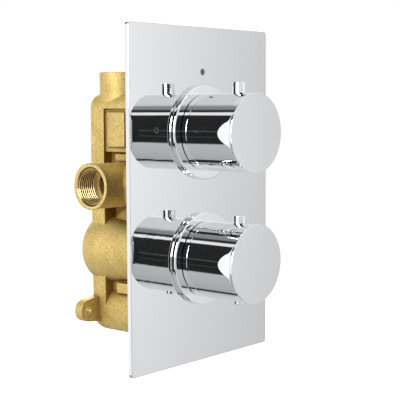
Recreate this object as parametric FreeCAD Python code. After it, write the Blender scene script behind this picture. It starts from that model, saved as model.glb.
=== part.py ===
import FreeCAD, Part
import math
import os
from FreeCAD import Vector

# Concealed thermostatic shower valve: an upright chrome plate with two round
# handles, on a cast brass body that sits in the wall.
# Millimetres. +X right, +Y into the wall, +Z up, seen from the front.
# The wall's finished face is y = 0, halfway up the plate.

os.makedirs("parts", exist_ok=True)

# ---------------------------------------------------------------- face plate
plate_width = 139.0
plate_height = 225.0
plate_depth = 3.0
plate_skin = 1.4
plate_rim = 1.6
plate_corner = 2.5
plate_edge_round = 0.8
mark_depth = 0.25
mark_clearance = 0.02
off_mark_r = 2.2
off_mark_rise = 40.0
open_mark_r = 1.8
open_mark_line = 0.35
open_mark_rise = 2.0
open_mark_inset = 24.5

# ------------------------------------------------------- handles and collars
handle_spacing = 85.0
collar_r = 32.0
collar_depth = 3.5
collar_front_round = 1.3
collar_rear_round = 0.8
handle_r = 26.0
handle_reach = 49.0
handle_gap = 0.5
handle_edge_round = 0.5
handle_rear_bevel = 0.4
head_depth = 10.5
skirt_wall = 4.5
shell_wall = 9.4
skirt_depth = 21.5
socket_front_wall = 3.0
scoop_rim = 1.2
scoop_half_width = 20.0
scoop_profile = ((0.0, 3.8), (1.0, 2.05), (2.2, 1.3), (4.2, 0.92), (6.4, 0.58), (8.3, 0.27), (10.2, -0.03))
temperature_scoop_turn = 4.0

# ------------------------------------------------- lever pins and the button
pin_r = 4.5
pin_stud_r = 2.5
pin_stud_length = 8.0
pin_set_back = 14.4
pin_round = 0.5
flow_pin_height = 6.8
temperature_pin_height = 5.0
button_r = 3.0
button_height = 2.0
button_cap = 5.4
button_set_back = 15.2
button_bore_depth = 7.4
button_wire_r = 0.2
button_spring_turns = 3.0
stem_r = 1.5
stem_past_clip = 0.7
clip_r = 2.7
clip_thickness = 1.2
clip_gap = 0.1
catch_lip = 1.5
catch_start = 11.0
catch_turn = 200.0
catch_wall = 1.2
stop_tube_gap = 3.2
stop_spigot = 5.0
stop_disc = 0.9
grub_r = 2.5
grub_length = 8.0
grub_set_back = 7.4
grub_angle = 45.0

# -------------------------------------------- sleeves, adaptors and spindles
sleeve_gap = 1.2
sleeve_bore_r = 12.5
sleeve_reach = 31.0
plate_hole_gap = 0.8
body_front = 24.0
sleeve_seat = 6.0
flange_thickness = 3.0
adaptor_r = 7.5
adaptor_screw_r = 1.7
adaptor_screw_head_r = 3.0
adaptor_screw_head = 3.0
adaptor_screw_bite = 7.0
spindle_r = 5.0
spline_teeth = 16
spline_root_r = 4.3
spline_tip_r = 5.0
spline_front = 8.0
spline_length = 10.0
running_gap = 0.05
seat_gap = 0.1

# ---------------------------------------------------------------- valve body
body_half_width = 17.0
body_back = 88.9
spine_depth = 13.6
body_top = 68.5
shoulder_r = 10.0
block_front = 36.0
block_bottom = 28.0
neck_r = 18.5
barrel_r = 23.4
barrel_flare_start = 62.0
barrel_flare_end = 78.0
barrel_back_r = 25.5
barrel_back = 95.5
barrel_dome = 9.0
foot_height = -86.4
foot_front = 32.0
boss_r = 16.0
boss_top = 83.9
boss_depth = 73.4
boss_bore_bottom = 58.0
inlet_r = 15.4
inlet_lip_r = 15.9
inlet_lip = 1.6
inlet_reach = 50.0
inlet_depth = 54.2
inlet_height = 6.1
gusset_high = (61.0, -11.2)
gusset_low = (72.4, -18.5)
gusset_web = 6.0
core_half_width = 5.5
pad_groove = 2.2
pad_low = 31.2
pad_high = 56.1
pad_front = 54.7
pad_back = 72.0
pad_border = 2.2
recess_half_width = 9.0
rib_half_width = 13.6
rib_back = 67.4
upper_rib = (21.8, 26.6)
lower_rib = (-72.6, -65.3)
lug_reach = 34.5
lug_thickness = 7.0
lug_round = 8.0
lug_height = -85.5
lug_hole_r = 2.6
lug_hole_reach = 28.0
cast_round = 1.0

# ------------------------------------------------ pipe threads and waterways
thread_minor_r = 12.06
thread_major_r = 13.22
thread_pitch = 1.814
thread_turns = 7
tapping_run = 3.7
mouth_chamfer = 1.5
mouth_r = 13.8
mouth_depth = 0.7
port_bore_r = 11.0
cartridge_r = 14.0
cartridge_gap = 0.05
hot_chamber = (42.0, 48.0)
cold_chamber = (55.0, 61.0)
mixing_chamber_r = 17.5
thermo_bore_end = 74.0
throat_r = 8.0
throat_end = 83.0
riser_r = 4.5
riser_depth = 81.0
flow_chamber = (42.0, 58.0)
flow_chamber_r = 12.5
flow_cartridge_r = 11.0
flow_bore_end = 67.0
flow_inlet_r = 6.0
outlet_passage_r = 6.0
outlet_passage_depth = 59.0
feed_r = 3.0
feed_offset = 4.2
feed_start = 50.0
check_chamber_r = 8.0
check_divider = 3.5
foot_bore_r = 9.0
foot_bore_end = 83.0
foot_plug_depth = 9.0
foot_plug_head = 3.0
service_boss_r = 14.0
service_boss_reach = 20.0
service_boss_front = 36.0
service_bore_r = 8.0
service_plug_head_r = 10.5
service_plug_head = 2.6
service_plug_length = 6.0
hex_socket_r = 4.0
hex_socket_depth = 5.0

# --------------------------------------------------------------- rubber rings
ring_section = 0.68
ring_groove = 1.6
large_ring_section = 0.85
large_ring_groove = 2.0
front_ring_set_back = 5.0

# ------------------------------------------------------------ flow cartridge
nose_r = 12.3
nose_front = 22.0
gland_r = 9.9
flow_wall = 1.4
flow_inner_r = 8.6
window_half_width = 3.5
window_front = 44.0
window_back = 54.0
fork_thickness = 4.0
fork_width = 5.0
fork_tongue = 1.4
disc_r = 8.4
moving_disc_thickness = 3.0
fixed_disc_thickness = 4.0
disc_opening_r = 6.8
disc_hub_r = 2.2
disc_opening_angle = 80.0
seal_r = 10.0
seal_bore_r = 7.0
seal_thickness = 2.0

# ---------------------------------------------------- thermostatic cartridge
housing_bore_r = 10.0
housing_back = 70.0
collar_stop_r = 8.0
drive_thread_r = 4.0
drive_thread_back = 40.5
key_half_width = 1.0
key_reach = 11.0
drive_nut_back = 43.0
drive_nut_floor = 36.0
drive_cup_r = 8.3
thrust_flange_r = 7.9
thrust_flange_front = 41.6
thrust_flange_thickness = 1.2
element_r = 5.0
element_back = 64.0
element_stem_r = 2.2
shuttle_front = 47.5
shuttle_back = 56.7
slot_length = 2.0
slot_open = 1.6
slot_half_width = 2.0
shuttle_wall = 1.6
shuttle_web = 2.0
end_cap_thickness = 3.8
end_cap_bore_r = 6.2
strainer_wall = 0.5
strainer_slots = 16
strainer_slot_width = 1.2
spring_wire_r = 0.5
overload_spring_turns = 3.5
return_spring_turns = 5.0

# -------------------------------------------------------------- check valves
check_outer_reach = 25.0
check_inner_reach = 11.0
check_wall = 2.4
check_seat_thickness = 2.5
check_seat_r = 6.0
check_poppet_r = 7.6
check_poppet_thickness = 1.8
check_guide_thickness = 1.5
check_guide_r = 3.2
check_stem_r = 1.5
check_spring_turns = 4.0
check_spring_wire = 0.4
inlet_strainer_thickness = 1.6
inlet_strainer_slot = 1.3

# ------------------------------------------------------------ derived values
axis_height = handle_spacing / 2
plate_front = -plate_depth
collar_front = plate_front - collar_depth
handle_rear = collar_front - handle_gap
handle_front = -handle_reach
cavity_floor = handle_front + head_depth
step_depth = handle_rear - skirt_depth
cavity_r = handle_r - shell_wall
sleeve_r = cavity_r - sleeve_gap
catch_arc = 360 - catch_turn - 2 * catch_start
pin_depth = handle_front + pin_set_back
button_depth = handle_front + button_set_back
grub_depth = handle_front + grub_set_back
sleeve_front = -sleeve_reach
flange_front = body_front + sleeve_seat
flange_back = flange_front + flange_thickness
bore_r = cartridge_r + cartridge_gap
spline_back = spline_front + spline_length
spine_front = body_back - spine_depth
gland_back = flange_front + 0.4
stop_back = flange_back - 0.1
nut_front = flange_back + 0.9
hub_r = element_r + 1.6
moving_disc_front = flow_bore_end - seal_thickness - fixed_disc_thickness - moving_disc_thickness
fixed_disc_front = moving_disc_front + moving_disc_thickness
seal_front = fixed_disc_front + fixed_disc_thickness
shuttle_web_front = (shuttle_front + shuttle_back - shuttle_web) / 2
end_cap_front = housing_back - end_cap_thickness - seat_gap


# ------------------------------------------------------------ shape functions
def save(shape, node):
    shape.exportStep("parts/" + node + ".step")


def rod(start, direction, radius, length):
    return Part.makeCylinder(radius, length, Vector(*start), Vector(*direction))


def rod_y(height, y0, y1, radius, x=0.0):
    return rod((x, y0, height), (0, 1, 0), radius, y1 - y0)


def box(x0, x1, y0, y1, z0, z1):
    return Part.makeBox(x1 - x0, y1 - y0, z1 - z0, Vector(x0, y0, z0))


def turned_y(height, outline):
    """Solid of revolution about the line along Y at this height; outline is (y, radius)."""
    points = [Vector(radius, y, height) for y, radius in outline]
    face = Part.Face(Part.makePolygon(points + points[:1]))
    return face.revolve(Vector(0, 0, height), Vector(0, 1, 0), 360)


def turned_x(outline):
    """Solid of revolution about the inlets' line; outline is (x, radius)."""
    points = [Vector(x, inlet_depth, inlet_height + radius) for x, radius in outline]
    face = Part.Face(Part.makePolygon(points + points[:1]))
    return face.revolve(Vector(0, inlet_depth, inlet_height), Vector(1, 0, 0), 360)


def sector_y(height, outline, start, sweep):
    """Part turn of the outline (y, radius) from the angle start; 0 is up and 90 to the right."""
    turn = math.radians(start)
    points = [Vector(radius * math.sin(turn), y, height + radius * math.cos(turn)) for y, radius in outline]
    face = Part.Face(Part.makePolygon(points + points[:1]))
    return face.revolve(Vector(0, 0, height), Vector(0, 1, 0), sweep)


def ring_y(height, y0, y1, outer, inner):
    return turned_y(height, ((y0, inner), (y0, outer), (y1, outer), (y1, inner)))


def rubber_ring(centre, direction, radius, section):
    return Part.makeTorus(radius, section, Vector(*centre), Vector(*direction))


def rounded_rectangle(half_width, half_height, corner, y):
    """Closed wire in the plane at y, centred on the origin."""
    w, h, r = half_width, half_height, corner
    k = r * (1 - math.sqrt(0.5))
    corners = (
        ((w - r, -h), (w - k, -h + k), (w, -h + r)),
        ((w, h - r), (w - k, h - k), (w - r, h)),
        ((-w + r, h), (-w + k, h - k), (-w, h - r)),
        ((-w, -h + r), (-w + k, -h + k), (-w + r, -h)),
    )
    edges = []
    last = corners[3][2]
    for start, middle, end in corners:
        edges.append(Part.makeLine(Vector(last[0], y, last[1]), Vector(start[0], y, start[1])))
        arc = Part.Arc(*(Vector(x, y, z) for x, z in (start, middle, end)))
        edges.append(arc.toShape())
        last = end
    return Part.Wire(edges)


def rounded_plate(half_width, half_height, corner, y0, y1):
    face = Part.Face(rounded_rectangle(half_width, half_height, corner, y0))
    return face.extrude(Vector(0, y1 - y0, 0))


def star_bar(height, y0, y1, root, tip):
    """Splined bar along Y."""
    points = []
    for i in range(spline_teeth):
        for share, radius in ((0.0, root), (0.35, root), (0.5, tip), (0.85, tip)):
            turn = 2 * math.pi * (i + share) / spline_teeth
            points.append(Vector(radius * math.cos(turn), y0, height + radius * math.sin(turn)))
    face = Part.Face(Part.makePolygon(points + points[:1]))
    return face.extrude(Vector(0, y1 - y0, 0))


def hex_bar(centre, direction, radius, length):
    """Hexagonal bar; radius is to the corners."""
    bar = Part.makePolygon([
        Vector(radius * math.cos(k * math.pi / 3), radius * math.sin(k * math.pi / 3), 0)
        for k in range(7)
    ])
    solid = Part.Face(bar).extrude(Vector(0, 0, length))
    turn = FreeCAD.Rotation(Vector(0, 0, 1), Vector(*direction))
    solid.Placement = FreeCAD.Placement(Vector(*centre), turn)
    return solid


def spring(centre, direction, radius, wire, length, turns):
    """Coil that starts and ends one wire radius inside the length; the wire has twelve flats."""
    rise = length - 2 * wire
    path = Part.Wire(Part.makeHelix(rise / turns, rise, radius))
    section = []
    for k in range(13):
        turn = 2 * math.pi * (k + 0.5) / 12
        section.append(Vector(radius + wire * math.cos(turn), 0, wire * math.sin(turn)))
    coil = path.makePipeShell([Part.makePolygon(section)], True, True)
    start = Vector(*centre) + Vector(*direction) * wire
    coil.Placement = FreeCAD.Placement(start, FreeCAD.Rotation(Vector(0, 0, 1), Vector(*direction)))
    return coil


def round_edges(shape, radius, wanted):
    """Fillet the edges that wanted(edge) picks."""
    picked = [edge for edge in shape.Edges if wanted(edge)]
    return shape.makeFillet(radius, picked)


def circle_at(edge, radius, y=None):
    curve = edge.Curve
    if not isinstance(curve, Part.Circle) or abs(curve.Radius - radius) > 1e-4:
        return False
    return y is None or abs(curve.Center.y - y) < 1e-4


def thread_cut(turns):
    """(distance from the mouth, radius) stations of a pipe thread and the plain tapping hole behind it."""
    stations = [(-1.0, mouth_r), (mouth_depth, mouth_r), (mouth_chamfer, thread_minor_r)]
    flat = thread_pitch / 6
    flank = (thread_pitch - 2 * flat) / 2
    x = mouth_chamfer
    for _ in range(turns):
        x += flat
        stations.append((x, thread_minor_r))
        x += flank
        stations.append((x, thread_major_r))
        x += flat
        stations.append((x, thread_major_r))
        x += flank
        stations.append((x, thread_minor_r))
    x += flat + tapping_run
    stations.append((x, thread_minor_r))
    stations.append((x, port_bore_r))
    return stations


# ------------------------------------------------------------- plate and marks
def make_face_plate():
    half_w, half_h = plate_width / 2, plate_height / 2
    plate = rounded_plate(half_w, half_h, plate_corner, plate_front, 0)
    plate = round_edges(plate, plate_edge_round,
                        lambda e: abs(e.BoundBox.YMax - plate_front) < 1e-6)
    inside = rounded_plate(half_w - plate_rim, half_h - plate_rim, plate_corner / 2,
                           plate_front + plate_skin, 1)
    plate = plate.cut(inside)
    for height in (axis_height, -axis_height):
        plate = plate.cut(rod_y(height, plate_front - 1, 1, sleeve_r + plate_hole_gap))
    return plate.cut([off_mark(mark_clearance), open_mark(mark_clearance)])


def off_mark(grow=0.0):
    return rod_y(axis_height + off_mark_rise, plate_front, plate_front + mark_depth, off_mark_r + grow)


def open_mark(grow=0.0):
    reach = plate_width / 2 - open_mark_inset
    height = axis_height + open_mark_rise
    outer = rod_y(height, plate_front, plate_front + mark_depth, open_mark_r + grow, -reach)
    inner = rod_y(height, plate_front, plate_front + mark_depth,
                  open_mark_r - open_mark_line - grow, -reach)
    return outer.cut(inner)


def make_gasket():
    half_w = plate_width / 2 - plate_rim - seat_gap
    half_h = plate_height / 2 - plate_rim - seat_gap
    sheet = rounded_plate(half_w, half_h, plate_corner / 2, plate_front + plate_skin, 0)
    for height in (axis_height, -axis_height):
        sheet = sheet.cut(rod_y(height, plate_front, 1, sleeve_r + plate_hole_gap))
    return sheet


save(make_face_plate(), "face_plate")
save(make_gasket(), "plate_gasket")
save(off_mark(), "off_mark")
save(open_mark(), "open_mark")


# ------------------------------------------------------------ collar and sleeve
def make_collar(height):
    inner = sleeve_r + running_gap
    groove = inner + 2 * ring_section - running_gap
    middle = (plate_front + collar_front) / 2
    collar = turned_y(height, (
        (plate_front, inner), (plate_front, collar_r), (collar_front, collar_r), (collar_front, inner),
        (middle - ring_groove / 2, inner), (middle - ring_groove / 2, groove),
        (middle + ring_groove / 2, groove), (middle + ring_groove / 2, inner)))
    collar = round_edges(collar, collar_front_round, lambda e: circle_at(e, collar_r, collar_front))
    return round_edges(collar, collar_rear_round, lambda e: circle_at(e, collar_r, plate_front))


def make_collar_ring(height):
    middle = (plate_front + collar_front) / 2
    return rubber_ring((0, middle, height), (0, 1, 0), sleeve_r + ring_section + running_gap / 2,
                       ring_section - running_gap / 2)


def make_sleeve(height):
    return ring_y(height, sleeve_front, flange_front, sleeve_r, sleeve_bore_r)


# -------------------------------------------------------------------- handles
def scoop_cutter(height, angle):
    """Thumb scoop behind the rim: a hollow floor run straight across the handle."""
    floor = [Vector(-handle_r + depth, handle_front + scoop_rim + along, 0)
             for along, depth in scoop_profile]
    curve = Part.BSplineCurve()
    curve.interpolate(floor)
    outside = -handle_r - 1
    corners = [floor[-1], Vector(outside, floor[-1].y, 0), Vector(outside, floor[0].y, 0), floor[0]]
    edges = [curve.toShape()]
    edges += [Part.makeLine(a, b) for a, b in zip(corners, corners[1:])]
    cutter = Part.Face(Part.Wire(edges)).extrude(Vector(0, 0, 2 * scoop_half_width))
    cutter.translate(Vector(0, 0, height - scoop_half_width))
    cutter.rotate(Vector(0, 0, height), Vector(0, 1, 0), angle)
    return cutter


def radial(height, y, angle, radius, r0, r1):
    """Rod across the handle's axis from r0 to r1; angle 0 is straight up, 90 is to the right."""
    turn = math.radians(angle)
    direction = (math.sin(turn), 0, math.cos(turn))
    start = (direction[0] * r0, y, height + direction[2] * r0)
    return rod(start, direction, radius, r1 - r0)


def make_handle(height, scoop_turn, with_button):
    handle = turned_y(height, (
        (handle_front, 0), (handle_front, handle_r), (handle_rear - handle_rear_bevel, handle_r),
        (handle_rear, handle_r - handle_rear_bevel), (handle_rear, handle_r - skirt_wall),
        (step_depth, handle_r - skirt_wall), (step_depth, cavity_r), (cavity_floor, cavity_r),
        (cavity_floor, 0)))
    handle = round_edges(handle, handle_edge_round, lambda e: circle_at(e, handle_r, handle_front))
    for angle in (0, 180, 270):
        handle = handle.cut(scoop_cutter(height, scoop_turn + angle))
    socket = star_bar(height, handle_front + socket_front_wall, cavity_floor + 1,
                      spline_root_r + seat_gap, spline_tip_r + seat_gap)
    handle = handle.cut(socket)
    handle = handle.cut(radial(height, pin_depth, 0, pin_stud_r + running_gap,
                               handle_r - pin_stud_length - 1, handle_r + 1))
    handle = handle.cut(radial(height, grub_depth, 180 - grub_angle, grub_r + running_gap,
                               spline_tip_r - 1, handle_r + 1))
    if with_button:
        floor = handle_r - button_bore_depth
        handle = handle.cut(radial(height, button_depth, 180, button_r + running_gap, floor, handle_r + 1))
        handle = handle.cut(radial(height, button_depth, 180, stem_r + running_gap, cavity_r - 1, floor + 1))
    return handle


def make_pin(height, proud):
    foot = math.sqrt(handle_r ** 2 - pin_r ** 2) - 0.3
    pin = radial(height, pin_depth, 0, pin_r, foot, handle_r + proud)
    pin = round_edges(pin, pin_round, lambda e: e.BoundBox.ZMin > height + handle_r + proud - 0.01)
    pin = pin.cut(rod_y(height, pin_depth - pin_r - 1, pin_depth + pin_r + 1, handle_r + running_gap))
    stud = radial(height, pin_depth, 0, pin_stud_r, handle_r - pin_stud_length, handle_r + 1)
    return pin.fuse(stud).removeSplitter()


def make_grub(height):
    front = handle_r - 3.0
    screw = radial(height, grub_depth, 180 - grub_angle, grub_r, front - grub_length, front)
    turn = math.radians(180 - grub_angle)
    reach = front - 2.5
    socket = hex_bar((math.sin(turn) * reach, grub_depth, height + math.cos(turn) * reach),
                     (math.sin(turn), 0, math.cos(turn)), 1.4, 3.0)
    return screw.cut(socket)


def make_adaptor(height):
    rear = spline_back - 0.5
    neck = cavity_floor + 4.0
    adaptor = rod_y(height, neck, rear, adaptor_r)
    adaptor = adaptor.fuse(star_bar(height, handle_front + socket_front_wall + seat_gap, neck + 1,
                                    spline_root_r, spline_tip_r))
    head_seat = spline_front - 4.0
    adaptor = adaptor.cut(rod_y(height, handle_front, head_seat, adaptor_screw_head_r + seat_gap))
    adaptor = adaptor.cut(rod_y(height, head_seat - 1, rear, adaptor_screw_r + seat_gap))
    return adaptor.cut(star_bar(height, spline_front - 0.5, rear + 1,
                                spline_root_r + seat_gap, spline_tip_r + seat_gap))


def make_adaptor_screw(height):
    head_seat = spline_front - 4.0
    screw = rod_y(height, head_seat - adaptor_screw_head, head_seat, adaptor_screw_head_r)
    shank = rod_y(height, head_seat, spline_front + adaptor_screw_bite, adaptor_screw_r)
    slot = box(-adaptor_screw_head_r, adaptor_screw_head_r, head_seat - adaptor_screw_head - 1,
               head_seat - adaptor_screw_head + 1.2, height - 0.4, height + 0.4)
    return screw.fuse(shank).cut(slot)


def screw_hole(height):
    return rod_y(height, spline_front - 1, spline_front + adaptor_screw_bite + 1,
                 adaptor_screw_r + running_gap)


for name, height, scoop_turn, proud in (
        ("flow", axis_height, 0.0, flow_pin_height),
        ("temperature", -axis_height, temperature_scoop_turn, temperature_pin_height)):
    save(make_collar(height), name + "_collar")
    save(make_collar_ring(height), name + "_collar_oring")
    save(make_sleeve(height), name + "_sleeve")
    save(make_handle(height, scoop_turn, name == "temperature"), name + "_handle")
    save(make_pin(height, proud), name + "_lever_pin")
    save(make_grub(height), name + "_grub_screw")
    save(make_adaptor(height), name + "_adaptor")
    save(make_adaptor_screw(height), name + "_adaptor_screw")


# ------------------------------------------------------------ override button
clip_outer = math.sqrt(cavity_r ** 2 - clip_r ** 2) - clip_gap
clip_inner = clip_outer - clip_thickness
stem_tip = clip_inner - stem_past_clip
button_foot = handle_r + button_height - button_cap
button_floor = handle_r - button_bore_depth


def make_button():
    cap = radial(-axis_height, button_depth, 180, button_r, button_foot, handle_r + button_height)
    bottom = -axis_height - handle_r - button_height
    cap = round_edges(cap, pin_round, lambda e: e.BoundBox.ZMax < bottom + 0.01)
    stem = radial(-axis_height, button_depth, 180, stem_r, stem_tip, button_foot + 1)
    return cap.fuse(stem).removeSplitter()


def make_clip():
    clip = radial(-axis_height, button_depth, 180, clip_r, clip_inner, clip_outer)
    return clip.cut(radial(-axis_height, button_depth, 180, stem_r + 0.01, clip_inner - 1, clip_outer + 1))


def make_button_spring():
    start = (0, button_depth, -axis_height - button_foot + 0.02)
    return spring(start, (0, 0, 1), (stem_r + button_r) / 2, button_wire_r,
                  button_foot - button_floor - 0.04, button_spring_turns)


def make_stop_ring():
    """Ring in the temperature sleeve's mouth; its curved lip is the 38 degree stop."""
    height = -axis_height
    lip_outer = cavity_r - 0.3
    lip_inner = lip_outer - catch_lip
    lip_back = button_depth - clip_r + 0.9
    disc_back = button_depth - clip_r - 0.35
    disc_front = disc_back - stop_disc
    tube_r = adaptor_r + stop_tube_gap
    bore = tube_r - catch_wall
    spigot = ring_y(height, sleeve_front + 0.01, sleeve_front + stop_spigot,
                    sleeve_bore_r - running_gap, bore)
    tube = ring_y(height, disc_front, sleeve_front + 0.5, tube_r, bore)
    arc = sector_y(height, (
        (disc_front, bore), (disc_front, lip_outer), (lip_back, lip_outer), (lip_back, lip_inner),
        (disc_back, lip_inner), (disc_back, bore)), 180 - catch_start - catch_arc, catch_arc)
    return spigot.fuse([tube, arc]).removeSplitter()


save(make_button(), "override_button")
save(make_clip(), "override_clip")
save(make_button_spring(), "override_spring")
save(make_stop_ring(), "stop_ring")


# ----------------------------------------------------------------- valve body
def body_outline(y0, y1, rounded_end):
    """The body seen from the front: round foot, flat top with rounded shoulders."""
    w = body_half_width
    k = shoulder_r * (1 - math.sqrt(0.5))
    top = body_top
    corners = [Vector(-w, y0, foot_height), Vector(-w, y0, top - shoulder_r),
               Vector(-w + shoulder_r, y0, top), Vector(w - shoulder_r, y0, top),
               Vector(w, y0, top - shoulder_r), Vector(w, y0, foot_height)]
    edges = [
        Part.makeLine(corners[0], corners[1]),
        Part.Arc(corners[1], Vector(-w + k, y0, top - k), corners[2]).toShape(),
        Part.makeLine(corners[2], corners[3]),
        Part.Arc(corners[3], Vector(w - k, y0, top - k), corners[4]).toShape(),
        Part.makeLine(corners[4], corners[5]),
        Part.Arc(corners[5], Vector(0, y0, foot_height - w), corners[0]).toShape(),
    ]
    solid = Part.Face(Part.Wire(edges)).extrude(Vector(0, y1 - y0, 0))
    return round_edges(solid, cast_round, lambda e: abs(e.BoundBox.YMin - rounded_end) < 1e-6
                       and abs(e.BoundBox.YMax - rounded_end) < 1e-6)


def slab(points, half_width):
    """Flat piece across the body; points are (y, z)."""
    corners = [Vector(-half_width, y, z) for y, z in points]
    face = Part.Face(Part.makePolygon(corners + corners[:1]))
    return face.extrude(Vector(2 * half_width, 0, 0))


def bore_from(mouth, direction, stations):
    """Turned hole from a mouth inwards; stations are (depth, radius)."""
    points = [Vector(x, 0, radius) for x, radius in stations]
    points = [Vector(stations[0][0], 0, 0)] + points + [Vector(stations[-1][0], 0, 0)]
    face = Part.Face(Part.makePolygon(points + points[:1]))
    hole = face.revolve(Vector(0, 0, 0), Vector(1, 0, 0), 360)
    turn = FreeCAD.Rotation(Vector(1, 0, 0), Vector(*direction))
    hole.Placement = FreeCAD.Placement(Vector(*mouth), turn)
    return hole


def straight_run(start, end, radius):
    run = Vector(*end) - Vector(*start)
    return Part.makeCylinder(radius, run.Length, Vector(*start), run)


def make_pad(side):
    """Raised flat in the sunk window on the side of the upper housing."""
    outer = side * body_half_width
    inner = side * (body_half_width - pad_groove - 1)
    pad = box(min(inner, outer), max(inner, outer), pad_front, pad_back, pad_low, pad_high)
    return round_edges(pad, cast_round, lambda e: abs(e.BoundBox.XMin - outer) < 1e-6
                       and abs(e.BoundBox.XMax - outer) < 1e-6)


def make_window(side):
    outer = side * (body_half_width + 1)
    inner = side * (body_half_width - pad_groove)
    return box(min(inner, outer), max(inner, outer), pad_front - pad_border, spine_front,
               block_bottom - 1, pad_high + pad_border)


def make_lug(side):
    middle = side * (lug_reach - lug_round)
    front = body_back - lug_thickness
    root = side * (body_half_width - 2)
    flare = lug_round + 1.5
    end = rod_y(lug_height, front, body_back, lug_round, middle)
    points = [Vector(middle, front, lug_height - lug_round), Vector(middle, front, lug_height + lug_round),
              Vector(root, front, lug_height + flare), Vector(root, front, lug_height - flare)]
    arm = Part.Face(Part.makePolygon(points + points[:1])).extrude(Vector(0, lug_thickness, 0))
    return end.fuse(arm)


def make_lower_barrel():
    step = body_front + sleeve_seat
    barrel = turned_y(-axis_height, (
        (body_front, 0), (body_front, neck_r), (step, neck_r), (step + 2, barrel_r),
        (barrel_flare_start, barrel_r), (barrel_flare_end, barrel_back_r),
        (barrel_back, barrel_back_r), (barrel_back, 0)))
    return round_edges(barrel, barrel_dome, lambda e: circle_at(e, barrel_back_r, barrel_back))


def body_solids():
    web_front = block_front + 4
    spine = body_outline(spine_front, body_back, body_back)
    block = body_outline(block_front, spine_front + 1, block_front)
    block = block.common(box(-body_half_width - 1, body_half_width + 1, block_front - 1, spine_front + 2,
                             block_bottom, body_top + 1))
    for side in (-1, 1):
        block = block.cut(make_window(side)).fuse(make_pad(side))
    foot = rod_y(foot_height, foot_front, spine_front + 1, body_half_width)
    neck = rod_y(axis_height, body_front, web_front, neck_r)
    inlet = rod((-inlet_reach, inlet_depth, inlet_height), (1, 0, 0), inlet_r, 2 * inlet_reach)
    outlet = rod((0, boss_depth, boss_bore_bottom), (0, 0, 1), boss_r, boss_top - boss_bore_bottom)
    slim = slab(((web_front, inlet_height), (web_front, block_bottom + 2),
                 (spine_front + 1, block_bottom + 2), (spine_front + 1, inlet_height)), recess_half_width)
    stem = slab(((web_front, foot_height), (web_front, -axis_height),
                 (spine_front + 1, -axis_height), (spine_front + 1, foot_height)), recess_half_width)
    core = slab(((web_front, -axis_height), (web_front, inlet_height),
                 (spine_front + 1, inlet_height), (spine_front + 1, -axis_height)), core_half_width)
    gusset = slab(((web_front, inlet_height), (web_front, -axis_height), (gusset_low[0], -axis_height),
                   gusset_low, gusset_high, (gusset_high[0] - gusset_web, inlet_height)), recess_half_width)
    solids = [block, foot, neck, inlet, outlet, slim, stem, core, gusset, make_lower_barrel()]
    for low, high in (upper_rib, lower_rib):
        solids.append(slab(((web_front, low), (web_front, high), (rib_back, high), (rib_back, low)),
                           rib_half_width))
    for side in (-1, 1):
        solids.append(make_lug(side))
        solids.append(bore_from((side * inlet_reach, inlet_depth, inlet_height), (-side, 0, 0),
                                [(0, inlet_lip_r), (inlet_lip, inlet_lip_r), (2 * inlet_lip, inlet_r - 0.2)]))
        solids.append(rod_y(inlet_height, service_boss_front, inlet_depth, service_boss_r,
                            side * service_boss_reach))
    return spine.fuse(solids).removeSplitter()


def body_holes():
    seat_r = sleeve_r + cartridge_gap
    flow_bore = flow_cartridge_r + cartridge_gap
    holes = []
    for height in (axis_height, -axis_height):
        holes.append(rod_y(height, body_front - 1, flange_back, seat_r))
    holes.append(rod_y(axis_height, flange_back - 1, flow_bore_end, flow_bore))
    holes.append(rod_y(axis_height, *flow_chamber, flow_chamber_r))
    holes.append(rod_y(axis_height, flow_bore_end - 1, riser_depth + riser_r - 1, flow_inlet_r))
    holes.append(rod_y(-axis_height, flange_back - 1, thermo_bore_end, bore_r))
    holes.append(rod_y(-axis_height, *hot_chamber, mixing_chamber_r))
    holes.append(rod_y(-axis_height, *cold_chamber, mixing_chamber_r))
    holes.append(rod_y(-axis_height, thermo_bore_end - 1, throat_end, throat_r))
    holes.append(rod((0, riser_depth, foot_height), (0, 0, 1), riser_r, axis_height - foot_height))
    holes.append(rod((0, outlet_passage_depth, axis_height + flow_inlet_r), (0, 0, 1), outlet_passage_r,
                     boss_bore_bottom + 2 - axis_height - flow_inlet_r))
    holes.append(rod_y(foot_height, foot_front - 1, foot_bore_end, foot_bore_r))
    outlet_depth = boss_top - boss_bore_bottom
    holes.append(bore_from((0, boss_depth, boss_top), (0, 0, -1),
                           thread_cut(thread_turns) + [(outlet_depth, port_bore_r)]))
    chamber_feeds = ((-1, hot_chamber), (1, cold_chamber))
    for side, chamber in chamber_feeds:
        stations = thread_cut(thread_turns)
        stations += [(inlet_reach - check_inner_reach, port_bore_r),
                     (inlet_reach - check_inner_reach, check_chamber_r),
                     (inlet_reach - check_divider, check_chamber_r)]
        holes.append(bore_from((side * inlet_reach, inlet_depth, inlet_height), (-side, 0, 0), stations))
        middle = (chamber[0] + chamber[1]) / 2
        holes.append(straight_run((side * feed_offset, feed_start, inlet_height),
                                  (side * feed_offset, middle, -axis_height + bore_r), feed_r))
        holes.append(rod_y(inlet_height, service_boss_front - 1, inlet_depth, service_bore_r,
                           side * service_boss_reach))
        holes.append(rod_y(lug_height, body_back - lug_thickness - 1, body_back + 1, lug_hole_r,
                           side * lug_hole_reach))
    return holes


def make_body():
    return body_solids().cut(body_holes())


def make_screw_plug(x, height, front, bore, head_r, head, length):
    """Plug whose head stands one ring section off the face at front."""
    face = front - 2 * ring_section - 0.04
    plug = rod_y(height, face - head, face, head_r, x).fuse(rod_y(height, face, front + length,
                                                               bore - running_gap, x))
    socket = hex_bar((x, face - head - 1, height), (0, 1, 0), hex_socket_r, hex_socket_depth)
    return plug.cut(socket)


def make_plug_ring(x, height, front, bore):
    return rubber_ring((x, front - ring_section - 0.02, height), (0, 1, 0),
                       bore + ring_section, ring_section)


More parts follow.
